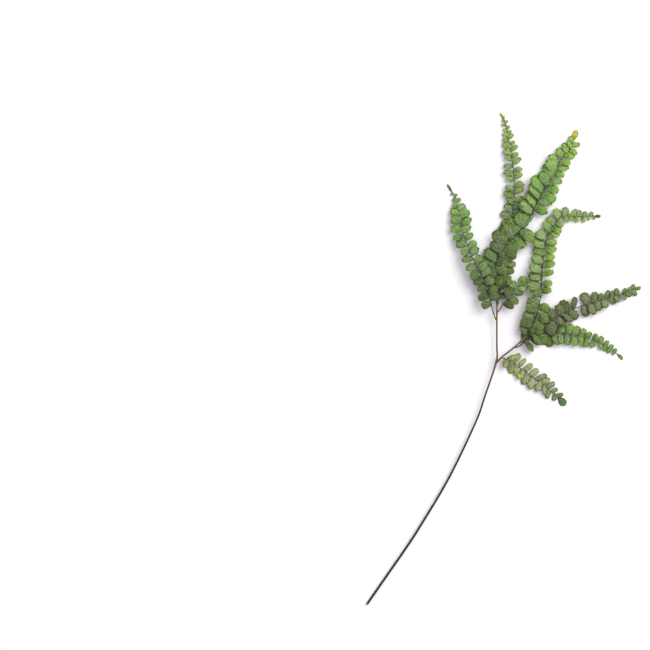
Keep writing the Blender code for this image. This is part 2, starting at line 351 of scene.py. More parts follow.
def grown(name, mesh, tree, inputs):
    """An object with the plain mesh that the tree makes of this one, its inputs set by their labels."""
    start = bpy.data.objects.new(name + " start", mesh)
    bpy.context.scene.collection.objects.link(start)
    growth = start.modifiers.new("growth", "NODES")
    growth.node_group = tree
    for item in tree.interface.items_tree:
        if item.in_out == "INPUT" and item.name in inputs:
            growth[item.identifier] = inputs[item.name]
    graph = bpy.context.evaluated_depsgraph_get()
    made = bpy.data.meshes.new_from_object(start.evaluated_get(graph), depsgraph=graph)
    bpy.data.objects.remove(start)
    bpy.data.meshes.remove(mesh)
    piece = bpy.data.objects.new(name, made)
    made.name = name
    bpy.context.scene.collection.objects.link(piece)
    return piece


def lines_mesh(name, lines):
    """A mesh of lines, each a list of (point, attributes by name)."""
    mesh = bpy.data.meshes.new(name)
    spots = [spot for line in lines for spot in line]
    edges, first = [], 0
    for line in lines:
        edges += [(first + k, first + k + 1) for k in range(len(line) - 1)]
        first += len(line)
    mesh.from_pydata([spot for spot, _ in spots], edges, [])
    for label in spots[0][1]:
        mesh.attributes.new(label, "FLOAT", "POINT").data.foreach_set("value", [marks[label] for _, marks in spots])
    return mesh


def bark(name, stops, gloss):
    """The skin of a dried stalk: colours along it, fine ridges, pale pith in its end and brown hairs."""
    finish = Finish(name, Specular_IOR_Level=0.3)
    run, pith, hair = (finish.attribute(label) for label in ("run", "pith", "hair"))
    blotch, ridge = finish.noise(*BLOTCH_GRAIN), finish.noise(*RIDGE_GRAIN)
    color = finish.ramp(run, stops)
    color = finish.mix(blotch.rise(0.35, 0.75) * 0.45, color, finish.mix(1.0, color, BLOTCH_SHADE, "MULTIPLY"))
    color = finish.mix(ridge.rise(0.45, 0.8) * 0.25, color, RIDGE_TAN)
    color = finish.mix(pith.rise(0.3, 0.7), color, PITH)
    color = finish.mix(hair, color, HAIR_BROWN)
    return finish.done(color, gloss + 0.25 * ridge, ridge + 0.5 * blotch, 0.5, BARK_RELIEF)


WIRE = wire_tree()
STALK_BARK = bark("dark stalk", STALK_COLORS, 0.28)


def wire_line(points, radii, shares, fork=None):
    """A line's spots with their radius and their share of the way for the colours."""
    run = distances(points)
    spots = []
    for spot, distance in zip(points, run):
        part = distance / run[-1]
        swell = 0.0 if fork is None else FORK_SWELL * math.exp(-((spot - fork).length / FORK_LENGTH) ** 2)
        thick = (radii[0] + (radii[1] - radii[0]) * part) * (1 + swell)
        spots.append((spot, {"thick": thick, "run": shares[0] + (shares[1] - shares[0]) * part, "pith": 0.0}))
    return spots


def cut_end(spots):
    """The spots with a small bevel and a face of pith before the first one."""
    (first, marks), (second, _) = spots[0], spots[1]
    back, thick = (first - second).normalized(), marks["thick"]
    rim = (first, {**marks, "thick": thick - 0.5 * END_BEVEL})
    rind = (first + RIND_BULGE * back, {**marks, "thick": thick * RIND_SHARE, "pith": RIND_PALENESS})
    pith = (first + PITH_BULGE * back, {**marks, "thick": thick * PITH_SHARE, "pith": 1.0})
    return [pith, rind, rim, (first - END_BEVEL * back, marks), *spots[1:]]


stalk_line = smooth_route(STALK_ROUTE, STALK_STEP)
arm_line = smooth_route(ARM_ROUTE, STALK_STEP / 2)
fork_spot = arm_line[1]
stalk_mesh = lines_mesh("stalk", [
    cut_end(wire_line(stalk_line, STALK_RADII, (0.0, 1.0), fork_spot)),
    wire_line(arm_line, ARM_RADII, ARM_RUN, fork_spot),
])
stalk = grown("stalk", stalk_mesh, WIRE, {
    "Sides": WIRE_SIDES, "Hairs": STALK_HAIRS, "Hair length": HAIR_LENGTH, "Hair radius": HAIR_RADIUS,
    "Seed": HAIR_SEED, "Finish": STALK_BARK,
})
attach(stalk, "root")
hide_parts("stipe")


# The leaflets' shapes: a dozen thin blades that differ a little, for each hand, and a few even ones for
# the ends of the pinnae. A real leaflet widens from a short dark stalk to a round, finely toothed outer
# margin, arches a little and dries with its rim turned down. The larger half is towards the tip of the
# pinna. Each blank is one unit long and wide, and every pinna below is leafed with them.
LEFT, RIGHT = 1, -1
BLANKS, END_BLANKS, BLANK_SEED = 12, 4, 17
ROWS, CLOSER, COLUMNS = 18, 1.8, (-1.0, -0.6, 0.0, 0.6, 1.0)
LOWER_SHARE, UPPER_SHARE = 0.44, 0.60
# How straight each half widens from the root, and how bluntly it closes at the end: less is blunter
LOWER_HALF, UPPER_HALF = dict(widen=0.95, close=0.46), dict(widen=0.62, close=0.44)
END_HALF, HALF_RANGE = dict(widen=0.9, close=0.5), (0.9, 1.1)
LEAF_STALK, OPEN_BY, USUAL_LENGTH, USUAL_WIDTH = 0.03, 0.06, 10.0 * MM, 8.0 * MM
# The teeth begin further out on the lower side (-1), and a few notches are cut in between them
TOOTH, TOOTH_JITTER, TEETH_FROM, TEETH_FULL = 0.05, 0.012, {-1: 0.45, 1: 0.3}, 0.6
NOTCH, NOTCHES, EDGE_WAVE, EDGE_WAVES = 0.18, 4, 0.03, 7
# How high the blade arches, how far its rim and its end hang, and how much it twists and crumples
ARCH, ARCH_BACK, ARCH_BLUNT, ARCH_FULL = 0.75 * MM, 0.06, 0.6, 0.25
RIM_DROP, DROP_FROM, DROP_FULL, END_CURL, CURL_RANGE = 0.2 * MM, 0.05, 0.3, 0.12 * MM, 0.6
TWIST, CRUMPLE, RIPPLES_FROM, RIPPLES_FULL = 0.22 * MM, 0.2 * MM, 0.1, 0.4
TWIST_RIPPLES, CRUMPLES_ALONG, CRUMPLES_ACROSS = 5, 9, 4
LEAF_THICK, LOWEST, RIM_REACH = 0.2 * MM, -0.27 * MM, 2.2 * MM


def smooth(value, low, high):
    """0 below low, 1 above high, and smooth between."""
    share = min(1.0, max(0.0, (value - low) / (high - low)))
    return share * share * (3 - 2 * share)


def leaf_blank(name, hand, shares, halves, rng):
    """A closed thin blade with its root at the origin, its tip towards +X and its face up."""
    bends = [rng.uniform(-1, 1) for _ in range(4)]
    halves = [{label: size * rng.uniform(*HALF_RANGE) for label, size in half.items()} for half in halves]
    notches = {
        (rng.choice((-1, 1, 1)), rng.randint(ROWS // 2, ROWS - 2)): rng.uniform(0.5, 1) for _ in range(NOTCHES)
    }
    waves = [rng.uniform(0, 2 * math.pi) for _ in range(3)]
    bm = bmesh.new()
    blade, rim = bm.verts.layers.float_vector.new("blade"), {}
    under = bm.faces.layers.float.new("under")

    def margin(k, side):
        """Where this row ends on the lower (-1) or the upper (1) side, without its tooth and with it."""
        u = 1 - (1 - k / ROWS) ** CLOSER
        upper = 0 if side < 0 else 1
        widen, close = halves[upper]["widen"], halves[upper]["close"]
        fullest = widen / (widen + close)
        half = u**widen * (1 - u) ** close / (fullest**widen * (1 - fullest) ** close) * smooth(u, 0.0, OPEN_BY)
        half = max(half * shares[upper], LEAF_STALK if k < ROWS else 0.0)
        toothed = smooth(u, TEETH_FROM[side], TEETH_FULL)
        tooth = TOOTH * (1 if k % 2 else -1) + rng.uniform(-TOOTH_JITTER, TOOTH_JITTER)
        reach = 1 + toothed * tooth - NOTCH * notches.get((side, k), 0)
        wave = 1 + EDGE_WAVE * toothed * math.sin(EDGE_WAVES * math.pi * k / ROWS * side + waves[0])
        return Vector((u, side * half)), Vector((u * (1 + (reach - 1) * u), side * half * reach * wave))

    outline = [{side: margin(k, side) for side in (-1, 1)} for k in range(ROWS + 1)]
    outline[ROWS] = {side: (Vector((1.0, 0.0)), Vector((1.0, 0.0))) for side in (-1, 1)}
    edge = [Vector((p.x * USUAL_LENGTH, p.y * USUAL_WIDTH)) for row in outline for _, p in row.values()]

    def surface_spot(k, across, lift):
        """A corner of the blade in this row, from -1 at its lower margin to 1 at its upper one."""
        low, high = (outline[k][side][1 if abs(across) == 1 else 0] for side in (-1, 1))
        spot = low.lerp(high, (across + 1) / 2)
        u, out = spot.x, abs(across)
        rippled = smooth(u, RIPPLES_FROM, RIPPLES_FULL)
        arched = math.sin(math.pi * min(1, ARCH_BACK + u)) ** ARCH_BLUNT * smooth(u, 0.0, ARCH_FULL)
        z = ARCH * (1 - out**3) * arched - RIM_DROP * smooth(u, DROP_FROM, DROP_FULL)
        z -= END_CURL * (1 + CURL_RANGE * bends[0]) * u**2
        z += TWIST * bends[1] * across * u
        z += TWIST * bends[2] * math.sin(TWIST_RIPPLES * u + waves[1]) * out**2 * rippled
        z += CRUMPLE * math.sin(CRUMPLES_ALONG * u + CRUMPLES_ACROSS * across + waves[2]) * rippled
        vert = bm.verts.new((spot.x, hand * spot.y, max(LOWEST, z + lift)))
        near = min((Vector((spot.x * USUAL_LENGTH, spot.y * USUAL_WIDTH)) - p).length for p in edge)
        vert[blade] = (spot.x, spot.y, 1 - min(1, near / RIM_REACH))
        return vert

    top = [[surface_spot(k, across, 0.0) for across in COLUMNS] for k in range(ROWS)]
    end = surface_spot(ROWS, 1.0, 0.0)
    keel = [surface_spot(k, 0.0, -LEAF_THICK) for k in range(ROWS)]
    for k in range(ROWS):
        after = top[k + 1] if k + 1 < ROWS else [end] * len(COLUMNS)
        below = keel[k + 1] if k + 1 < ROWS else end
        for n in range(len(COLUMNS) - 1):
            corners = [top[k][n], after[n], after[n + 1], top[k][n + 1]]
            bm.faces.new(list(dict.fromkeys(corners)))[under] = 0.0
        for corners in ([top[k][0], keel[k], below, after[0]], [keel[k], top[k][-1], after[-1], below]):
            bm.faces.new(list(dict.fromkeys(corners)))[under] = 1.0
    bm.faces.new([*top[0], keel[0]])[under] = 1.0
    bmesh.ops.recalc_face_normals(bm, faces=bm.faces)
    for face in bm.faces:
        face.smooth = True
    for line in bm.edges:
        if len({face[under] for face in line.link_faces}) > 1:
            line.smooth = False
    mesh = bpy.data.meshes.new(name)
    bm.to_mesh(mesh)
    bm.free()
    return bpy.data.objects.new(name, mesh)


blanks = bpy.data.collections.new("leaf blanks")
bpy.context.scene.collection.children.link(blanks)
blank_rng = random.Random(BLANK_SEED)
for number in range(BLANKS):
    shape_seed = blank_rng.random()
    for hand, label in ((1, "right"), (-1, "left")):
        blanks.objects.link(leaf_blank(
            f"blank_{label}_{number:02}", hand, (LOWER_SHARE, UPPER_SHARE), (LOWER_HALF, UPPER_HALF),
            random.Random(shape_seed)))
for number in range(END_BLANKS):
    blanks.objects.link(leaf_blank(
        f"blank_end_{number:02}", 1, (0.5, 0.5), (END_HALF, END_HALF), random.Random(blank_rng.random())))
BLANK_ORDER = sorted(blank.name for blank in blanks.objects)


def leafing_tree():
    """Puts a blank on each point: its turn, its size as grow, and which blank as pick."""
    tree, given, result = tree_with_inputs("leafing", [("Blanks", "Collection"), ("Finish", "Material")])
    shapes = add(tree, "GeometryNodeCollectionInfo", Collection=given.outputs["Blanks"], Separate_Children=True,
                 Reset_Children=True)
    turn = add(tree, "FunctionNodeEulerToRotation", Euler=named(tree, "turn", "FLOAT_VECTOR"))
    leafed = add(
        tree, "GeometryNodeInstanceOnPoints", Points=given.outputs["Geometry"], Instance=shapes.outputs[0],
        Pick_Instance=True, Instance_Index=named(tree, "pick", "INT"), Rotation=turn.outputs[0],
        Scale=named(tree, "grow", "FLOAT_VECTOR"),
    )
    real = add(tree, "GeometryNodeRealizeInstances", Geometry=leafed.outputs[0])
    finished = add(tree, "GeometryNodeSetMaterial", Geometry=real.outputs[0], Material=given.outputs["Finish"])
    tree.links.new(finished.outputs[0], result.inputs[0])
    return tree


LEAFING = leafing_tree()

# How the leaflets of a pinna are set out, the same for all eight: where they root on the midrib, how
# they swing from it, and how each one's lower margin lies over the one before it.
SEED, LOOKS_SEED = 41, 141
MIDRIB_RADII, MIDRIB_STEP, CAD_MIDRIB_STEP = (0.52 * MM, 0.22 * MM), 2.0 * MM, 7 * MM
MIDRIB_SIDES, MIDRIB_HAIRS, JOIN_GAP, JOIN_BACK = 8, 40000.0, 0.5 * MM, 1.5
CAD_BLADE_THICK, FLOAT, END_ROOM, END_OVERLAP = 0.6 * MM, 0.06 * MM, 2.2 * MM, 1.0 * MM
SHINGLE, SHINGLE_RANGE, DIP = math.radians(12), (0.85, 1.15), math.radians(2)
FIRST_SIZE, FULL_FROM, SHRINK_POWER = 0.85, 0.12, 1.5
SWING_LESS_AT_TIP, SWING_JITTER, SIZE_JITTER = 16, math.radians(7), 0.09
# In degrees, how far a dried leaflet turns, tilts and lifts from its neat place, more so near the base
YAW, ROLL, PITCH, WILDER_AT_BASE, BASE_SHARE = 11, 18, 8, 0.8, 0.4
ROOT_OVERLAP, ROOT_SHIFT, LENGTH_RANGE, WIDTH_RANGE = 0.95 * MM, 0.5 * MM, (0.97, 1.13), (0.9, 1.12)
# The last three: how much the leaflets' tone varies, how much their painted sheen varies, and how much painted sheen
# the end leaflets get
LEAST_CURL, MORE_CURL, TINT_SPREAD, SHEEN_SPREAD, END_SHEEN = 0.6, 0.6, 0.95, 0.15, 0.2
# The spots along and across a blade that are kept this far off the surface
LOW_SPOTS = ((1, 0), (0.8, 0.5), (0.55, 0.62), (0.3, 0.55), (0.8, -0.4), (0.55, -0.46))
CLEARANCE = 0.4 * MM
MIDRIB_COLORS = [
    (0.0, linear(58, 42, 28)), (0.2, linear(34, 32, 18)), (0.5, linear(28, 38, 14)), (1.0, linear(56, 76, 26)),
]
MIDRIB_BARK = bark("midrib", MIDRIB_COLORS, 0.4)


def size_at(share, last, shrink):
    """How large a leaflet is at this share of the midrib: full from near the base, smaller to the tip."""
    swell = FIRST_SIZE + (1 - FIRST_SIZE) * min(1, share / FULL_FROM)
    fall = max(0, (share - shrink) / (1 - shrink))
    return swell * (1 - (1 - last) * fall**SHRINK_POWER)


def between(stops, share):
    """What a leaflet's length and width are multiplied by at this share of the midrib."""
    for (near, *low), (far, *high) in zip(stops, stops[1:]):
        if share <= far:
            return [a + (b - a) * (share - near) / (far - near) for a, b in zip(low, high)]
    return stops[-1][1:]


def set_out(shape, rng, looks):
    """Where each leaflet of a pinna sits: its spot, turn, size, blank, tint, bloom (its painted sheen), age and share
    of the way.
    """
    midrib = smooth_route(shape["route"], CAD_MIDRIB_STEP)
    run = distances(midrib)
    full = run[-1]
    leaves = []

    def leaf(root, along, upper, grow, kind, **marks):
        side = upper if kind != "left" else -upper
        turn = Matrix((along, side, along.cross(side))).transposed().to_euler()
        pick = BLANK_ORDER.index(f"blank_{kind}_{looks.randrange(END_BLANKS if kind == 'end' else BLANKS):02}")
        leaves.append(dict(spot=root - ROOT_OVERLAP * along, turn=turn, grow=grow, pick=pick, **marks))

    def neat(side, place, side_swing):
        """The rule's leaflet at this place: its root, the ways ahead, up, along and upper, and its size."""
        share = place / full
        size = size_at(share, shape["last"], shape["shrink"]) * (1 + rng.uniform(-SIZE_JITTER, SIZE_JITTER))
        swing = math.radians(side_swing - SWING_LESS_AT_TIP * share**2) + rng.uniform(-SWING_JITTER, SWING_JITTER)
        dip = rng.uniform(-DIP, DIP)
        lean = SHINGLE * rng.uniform(*SHINGLE_RANGE)
        length, width = (edge * MM * size for edge in shape["blade"])
        root = point_at(midrib, run, place)
        room = max(root.z - 0.5 * CAD_BLADE_THICK - FLOAT, 0)
        lean = min(lean, math.asin(min(1, room / (UPPER_SHARE * width))))
        behind, before = max(0, place - CAD_MIDRIB_STEP / 2), min(full, place + CAD_MIDRIB_STEP / 2)
        ahead = (point_at(midrib, run, before) - point_at(midrib, run, behind)).normalized()
        out = side * Vector((0, 0, 1)).cross(ahead).normalized()
        up = side * ahead.cross(out)
        level_along = math.cos(swing) * ahead + math.sin(swing) * out
        level_upper = math.sin(swing) * ahead - math.cos(swing) * out
        upper = math.cos(lean) * level_upper - math.sin(lean) * up
        lowest = level_along.z * length + min(0, upper.z) * UPPER_SHARE * width
        dip = max(dip, -(room + lowest) / length)
        along = math.cos(dip) * level_along + math.sin(dip) * up
        return root, ahead, up, along, upper, size

    def dried(side, share, root, ahead, up, along, upper, size):
        """Adds that leaflet as it dried: turned, tilted, lifted and grown a little away from the rule."""
        row = "left" if side == LEFT else "right"
        tint = looks.gauss(0, TINT_SPREAD)
        # How much painted sheen the leaflet gets, from its row's amount
        bloom = shape["bloom"][0 if side == LEFT else 1] + looks.gauss(0, SHEEN_SPREAD)
        wild = shape["wild"] * (1 + WILDER_AT_BASE * (1 - smooth(share, 0.0, BASE_SHARE)))
        yaw, roll, pitch = (math.radians(limit) * wild * looks.uniform(-1, 1) for limit in (YAW, ROLL, PITCH))
        turned = math.cos(yaw) * along + math.sin(yaw) * upper
        upper = math.cos(yaw) * upper - math.sin(yaw) * along
        upper = math.cos(roll) * upper + math.sin(roll) * turned.cross(upper)
        along = math.cos(pitch) * turned - math.sin(pitch) * upper.cross(turned)
        longer, fuller = between(shape[row], share)
        curled = LEAST_CURL + MORE_CURL * shape["wild"]
        length, width = (edge * MM * size for edge in shape["blade"])
        length = length * longer * looks.uniform(*LENGTH_RANGE)
        width = width * fuller * looks.uniform(*WIDTH_RANGE)
        low = min(along.z * u * length + upper.z * v * width for u, v in LOW_SPOTS)
        root = root + ROOT_SHIFT * looks.uniform(-1, 1) * ahead + shape["cover"] * MM * up
        root.z += max(0.0, CLEARANCE * curled - low - root.z)
        leaf(root, along, upper, (length, width, size * curled), row, tint=tint, bloom=bloom, age=0.0, share=share)

    for side, start, side_swing in zip((LEFT, RIGHT), shape["start"], shape["swing"]):
        place = start * MM
        while place < full - END_ROOM:
            share = place / full
            placed = neat(side, place, side_swing)
            if not any(side == where and near < place / MM < far for where, near, far in shape["bare"]):
                dried(side, share, *placed)
            place += shape["spacing"] * MM * (0.5 + 0.5 * size_at(share, shape["last"], shape["shrink"]))
    last = midrib[-1]
    along = (last - midrib[-2]).normalized()
    if shape["lies"]:
        along = Vector((along.x, along.y, 0)).normalized()
        last = Vector((last.x, last.y, 0.5 * CAD_BLADE_THICK))
    upper = Vector((0, 0, 1)).cross(along).normalized()
    length, width = (edge * MM for edge in shape["end_blade"])
    grow = (length + END_OVERLAP, width, min(1.0, length / USUAL_LENGTH))
    leaf(last - END_OVERLAP * along, along, upper, grow, "end", tint=shape["end_tint"], bloom=END_SHEEN, age=1.0,
         share=1.0)
    return leaves


# What the leaflets' skin is mixed from: grain of three sizes, the fan of veins with the dots along its rim,
# shades that the pinna's own colour is multiplied by, one of them a painted highlight, and colours that are
# laid over it, one of them pale for both the veins and a painted sheen.
CLOUD_GRAIN, MOTTLE_GRAIN, SPECK_GRAIN = (120.0, 2.0), (430.0, 3.0, 0.65), (1300.0, 2.0)
FAN_BACK, FAN_SQUASH, BROAD_VEINS, FINE_VEINS, RIM_DOTS, SPORE_SPOTS = 0.05, 0.8, 19.0, 57.0, 38.0, 30.0
DARK_SHADE, VIVID_SHADE, SUNLIT_SHADE = (0.2, 0.26, 0.14), (1.6, 1.62, 0.72), (2.0, 1.86, 2.0)
PALE_VEIN_AND_SHEEN, OLIVE, PALE_BACK = linear(178, 190, 152), linear(100, 94, 68), linear(128, 138, 100)
DOT_BROWN, SPORE_BROWN, LEAF_STALK_BROWN = linear(44, 46, 26), linear(84, 54, 34), linear(62, 44, 30)
SKIN_ROUGHNESS, SKIN_RELIEF, RELIEF_DEPTH = 0.48, 0.95, 0.5 * MM


def leaf_finish(name, colors, end_color, rim_color, rim_amount):
    """A dried leaflet: olive at its root and greener outwards, with pale fan veins and a thin rim, over which light
    and shade are painted: a sheen, highlights, a brighter outer part, shade along the rim and at the root, and on
    some pinnae a bright rim.
    """
    finish = Finish(name, Specular_IOR_Level=0.26)
    u, v, rim = finish.parts("blade")
    tint, bloom, age, share, under = (finish.attribute(label) for label in ("tint", "bloom", "age", "share", "under"))
    cloud, mottle, speck = (finish.noise(*grain) for grain in (CLOUD_GRAIN, MOTTLE_GRAIN, SPECK_GRAIN))
    fan = v.math("ARCTAN2", v * FAN_SQUASH, u + FAN_BACK) + mottle * 0.12
    far = u.math("SQRT", (u + FAN_BACK) ** 2.0 + (v * FAN_SQUASH) ** 2.0)

    def stripes(count):
        """Stripes that fan out from the root, 1 along their middles and 0 between them."""
        return v.math("SINE", fan * count) * 0.5 + 0.5

    veins = stripes(BROAD_VEINS) ** 2.0 * 0.65 + stripes(FINE_VEINS) ** 2.0 * 0.35
    veins = veins * far.rise(0.05, 0.3) * (mottle * 0.8 + 0.6)
    color = finish.ramp(share, [(place, linear(*shade)) for place, shade in colors])
    turned = age + (1.0 - age) * share.rise(0.78, 1.0) * cloud.rise(0.48, 0.64) * 0.6
    color = finish.mix(turned * far.rise(0.12, 0.5), color, linear(*end_color))
    dark, vivid, sunlit = (
        finish.mix(1.0, color, shade, "MULTIPLY") for shade in (DARK_SHADE, VIVID_SHADE, SUNLIT_SHADE)
    )
    pale_vein_and_sheen, olive = finish.mix(0.6, color, PALE_VEIN_AND_SHEEN), finish.mix(0.55, dark, OLIVE)
    # Less painted sheen towards the base of the pinna
    bloom = bloom * (0.35 + 0.65 * share.rise(0.05, 0.42))
    dots = stripes(RIM_DOTS).rise(0.5, 0.8) * rim.rise(0.78, 0.92) * far.rise(0.35, 0.6)
    # The thin edge, stronger where there is less painted sheen: brown on some pinnae, a painted bright rim on the
    # others
    edge = rim.rise(0.62, 0.95) * cloud.rise(0.34, 0.56) * (1.2 - bloom)
    edge = edge * u.rise(0.4, 0.8) * (0.3 + 0.7 * share.rise(0.05, 0.4))
    for amount, shade in (
        # Olive at the root: the leaflet's own colour, deepened by painted shade where the leaflets overlap
        ((0.85 - far * 1.1 + mottle * 0.5).rise(0.2, 0.8) * 0.8, olive),
        # Some leaflets are brighter and others darker
        (tint.rise(0.0, 1.6) * 0.6, vivid),
        (tint.rise(0.0, -1.6) * 0.9, dark),
        # Mottled all over: dark patches in the leaflet's own tone, and painted highlights
        (mottle.rise(0.58, 0.38) * 0.9, dark),
        (mottle.rise(0.5, 0.66) * 0.75, sunlit),
        # A painted sheen, pale over the middle, and where there is little of it a painted light that brightens the
        # outer part
        ((1.0 - rim).rise(0.0, 0.75) * (0.45 + veins * 0.8) * bloom, pale_vein_and_sheen),
        (far.rise(0.4, 0.9) * (1.0 - bloom) * 0.75, vivid),
        # Pale veins, darker between them
        (veins * cloud.rise(0.3, 0.75) * 0.42, pale_vein_and_sheen),
        ((1.0 - veins).rise(0.5, 1.0) * far.rise(0.2, 0.5) * cloud * 0.18, dark),
        # Painted shade along the rim, more where there is more painted sheen, and a painted shadow along the lower
        # side, where the leaflets overlap
        (rim.rise(0.7, 1.0) * bloom * 0.6, dark),
        (rim.rise(0.5, 1.0) * (0.0 - v).rise(0.05, 0.35) * 0.65, dark),
        # Fine specks: dark ones in the leaflet's own tone, and painted glints
        (speck.rise(0.52, 0.68) * 0.5, dark),
        (speck.rise(0.5, 0.34) * 0.55, sunlit),
        # Dots along the rim, where the spores show through, and the thin edge: its own changed colour, brown on some
        # pinnae, and on the others a painted bright rim, strongest where there is little painted sheen
        (dots * bloom.rise(0.0, 0.5) * 0.7, DOT_BROWN),
        (edge * rim_amount, linear(*rim_color)),
    ):
        color = finish.mix(amount, color, shade)
    spots = stripes(SPORE_SPOTS).rise(0.45, 0.7) * rim.rise(0.35, 0.6) * rim.rise(0.95, 0.75)
    beneath = finish.mix(spots * u.rise(0.4, 0.55), finish.mix(0.45, color, PALE_BACK), SPORE_BROWN)
    color = finish.mix(under, color, beneath)
    color = finish.mix(u.rise(0.08, 0.03), color, LEAF_STALK_BROWN)
    relief = veins * 0.6 + mottle * 1.4 + speck * 0.3
    return finish.done(color, SKIN_ROUGHNESS + 0.2 * mottle, relief, SKIN_RELIEF, RELIEF_DEPTH)


def nearest(lines, spot):
    """The point of these lines that is closest to the spot."""
    return min((point for line in lines for point in line), key=lambda point: (point - spot).length)


def pinna(number, shape, colors, end_color, rim_color, rim_amount, slot):
    """Grows a midrib and its leaflets, which together stand for the CAD node that the shape names.

    In a shape, route is the midrib's way in millimetres. A full leaflet is as long and wide as blade, the
    leaflets root a spacing apart, the left and right rows start this far along and swing out by these
    angles in degrees. Past shrink they grow smaller, down to last of their size. A row has none in a bare
    stretch, and left and right say how much longer and fuller than the rule they are along the way. The
    end leaflet is end_blade in size, lies on the surface or not, and has its end_tint. bloom is how much
    painted sheen the two rows get, which also sets their painted rim shade and, where it is low, their
    painted light; wild is how unevenly they dried, and cover how far they stand above the midrib.
    """
    node = shape["node"]
    joined = smooth_route(shape["route"], MIDRIB_STEP)
    first, ahead = joined[0], (joined[1] - joined[0]).normalized()
    gap = (nearest((stalk_line, arm_line), first) - first).length
    if gap > JOIN_GAP:
        origin = nearest((stalk_line, arm_line), first - JOIN_BACK * gap * ahead)
        joined = smooth_route([origin / MM, *shape["route"]], MIDRIB_STEP)
    midrib_mesh = lines_mesh("midrib", [wire_line(joined, MIDRIB_RADII, (0.0, 1.0))])
    midrib = grown(node.replace("pinna", "midrib"), midrib_mesh, WIRE, {
        "Sides": MIDRIB_SIDES, "Hairs": MIDRIB_HAIRS, "Hair length": HAIR_LENGTH, "Hair radius": HAIR_RADIUS,
        "Seed": HAIR_SEED + number, "Finish": MIDRIB_BARK,
    })
    leaves = set_out(shape, random.Random(SEED + number), random.Random(LOOKS_SEED + number))
    points = bpy.data.meshes.new("leaf spots")
    points.from_pydata([leaf["spot"] for leaf in leaves], [], [])
    for label, kind in (("turn", "FLOAT_VECTOR"), ("grow", "FLOAT_VECTOR"), ("pick", "INT"), ("tint", "FLOAT"),
                        ("bloom", "FLOAT"), ("age", "FLOAT"), ("share", "FLOAT")):
        values = [leaf[label] for leaf in leaves]
        data = points.attributes.new(label, kind, "POINT").data
        if kind == "FLOAT_VECTOR":
            data.foreach_set("vector", [part for value in values for part in value])
        else:
            data.foreach_set("value", values)
    finish = leaf_finish(slot.replace("_", " "), colors, end_color, rim_color, rim_amount)
    leaflets = grown(node.replace("pinna", "leaflets"), points, LEAFING, {"Blanks": blanks, "Finish": finish})
    for piece, piece_slot in ((midrib, "stalk"), (leaflets, slot)):
        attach(piece, "root")
        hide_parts(node)


# Pinna 1, the long one that carries the left arm on past all the others.
# Its large leaflets turn brighter towards the tip, which ends in a yellow leaflet lying on the surface.
pinna(0, dict(
    node="pinna_1_upper",
    route=[
        (-7.0, 48.4, 5.6), (-8.5, 61.5, 5.8), (-9.0, 77.5, 6.1), (-5.0, 93.5, 6.3), (3.0, 105.5, 6.5),
        (13.5, 114.5, 6.6), (21.5, 124.0, 6.6), (28.5, 138.5, 6.0), (39.6, 158.6, 4.8),
        (50.0, 177.0, 3.2), (57.5, 187.0, 1.8), (61.5, 192.5, 0.9), (62.2, 197.0, 0.45),
    ],
    blade=(14.0, 9.4), spacing=7.6, start=(9.0, 6.0), swing=(58, 72), last=0.5, shrink=0.5,
    end_blade=(9.5, 5.6), lies=True, bare=[(RIGHT, 74.0, 92.0)],
    left=[
        (0.0, 0.95, 1.3), (0.3, 1.12, 1.5), (0.5, 1.08, 1.4), (0.6, 1.3, 1.5),
        (0.75, 1.3, 1.45), (0.85, 1.15, 1.2), (1.0, 1.0, 1.0),
    ],
    right=[
        (0.0, 0.95, 1.05), (0.42, 1.0, 1.0), (0.55, 1.05, 0.86),
        (0.7, 1.05, 0.84), (0.85, 1.1, 0.9), (1.0, 1.0, 0.95),
    ],
    bloom=(0.6, 0.15), end_tint=0.2, wild=1.25, cover=0.0,
), colors=[
    (0.0, (65, 90, 40)), (0.3, (70, 96, 45)), (0.45, (90, 126, 52)), (0.7, (96, 140, 54)),
    (1.0, (124, 166, 62)),
], end_color=(176, 168, 40), rim_color=(150, 168, 56), rim_amount=0.3, slot="upper_green")

# Pinna 2, the long slender one that runs under pinna 1 and past its bend.
# Its leaflets dwindle to tiny ones set apart, and the last ones are a bright yellow green.
pinna(1, dict(
    node="pinna_2_slender",
    route=[
        (-6.6, 46.0, 3.8), (-4.5, 60.0, 2.2), (-0.5, 86.5, 2.0), (2.5, 104.0, 2.2), (6.0, 123.5, 2.4),
        (8.8, 145.5, 2.8), (8.6, 164.0, 3.1), (6.6, 180.5, 2.9), (3.4, 198.0, 1.9), (1.2, 211.0, 0.9),
        (-0.4, 216.0, 0.5), (-2.2, 217.8, 0.45),
    ],
    blade=(10.6, 7.8), spacing=7.1, start=(16.0, 19.0), swing=(66, 74), last=0.22, shrink=0.45,
    end_blade=(4.6, 2.2), lies=True, bare=[],
    left=[
        (0.0, 1.0, 1.0), (0.5, 1.0, 0.85), (0.7, 1.08, 0.88),
        (0.85, 1.35, 1.1), (0.95, 1.25, 1.2), (1.0, 1.0, 1.0),
    ],
    right=[
        (0.0, 1.0, 1.0), (0.5, 1.0, 0.9), (0.7, 1.08, 0.9),
        (0.85, 1.35, 1.1), (0.95, 1.25, 1.2), (1.0, 1.0, 1.0),
    ],
    bloom=(0.45, 0.4), end_tint=0.3, wild=1.0, cover=0.2,
), colors=[
    (0.0, (74, 96, 50)), (0.3, (84, 108, 55)), (0.5, (102, 129, 70)), (0.75, (120, 153, 74)),
    (1.0, (130, 172, 72)),
], end_color=(178, 184, 44), rim_color=(136, 150, 78), rim_amount=0.45, slot="slender_green")

